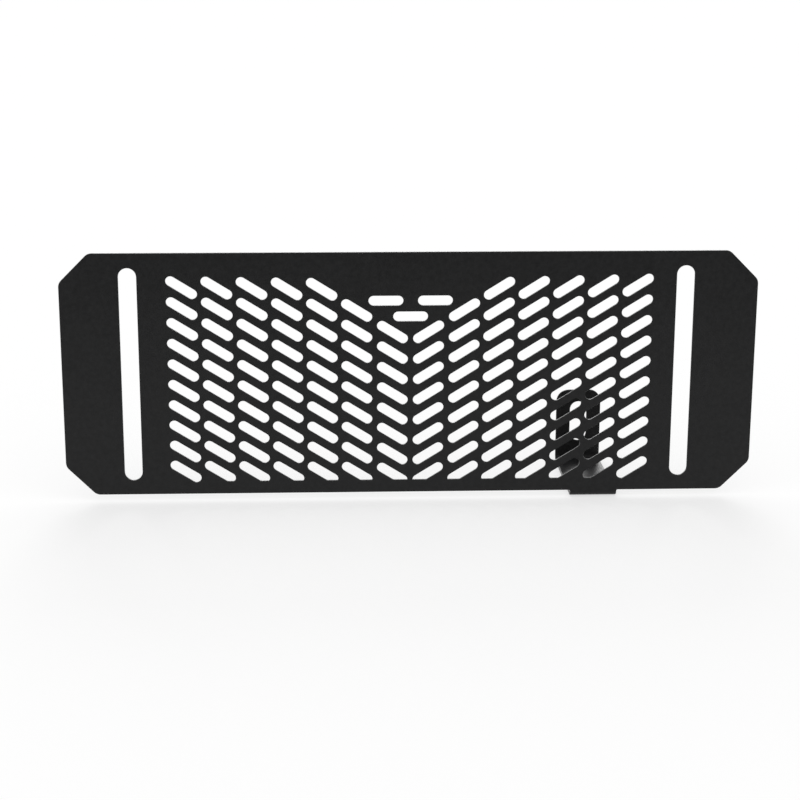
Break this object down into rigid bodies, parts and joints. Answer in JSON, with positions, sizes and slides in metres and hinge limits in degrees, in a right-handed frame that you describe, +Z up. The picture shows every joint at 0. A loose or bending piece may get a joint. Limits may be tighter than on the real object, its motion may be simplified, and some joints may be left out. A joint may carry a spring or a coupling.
{
  "type": "motorcycle radiator guard",
  "caption": "Flat slotted radiator guard with chamfered corners and a chevron of vents, folded from one sheet, with a hooked mounting strip that carries an oblong bolt hole.",
  "frame": {"origin": "middle of the panel's back face, which faces the radiator", "axes": "+Z up along the panel's height, +X to the right as seen from the front, -Y out of the panel's front face, and +Y back towards the radiator and the mounting strip's upright"},
  "size_m": [0.35, 0.065, 0.1285],
  "materials": {
    "powder_coated_sheet": "satin black powder coat over steel sheet, with a fine even texture and softened cut edges"
  },
  "bodies": {
    "root": {"guard_plate": "powder_coated_sheet"}
  },
  "joints": []
}
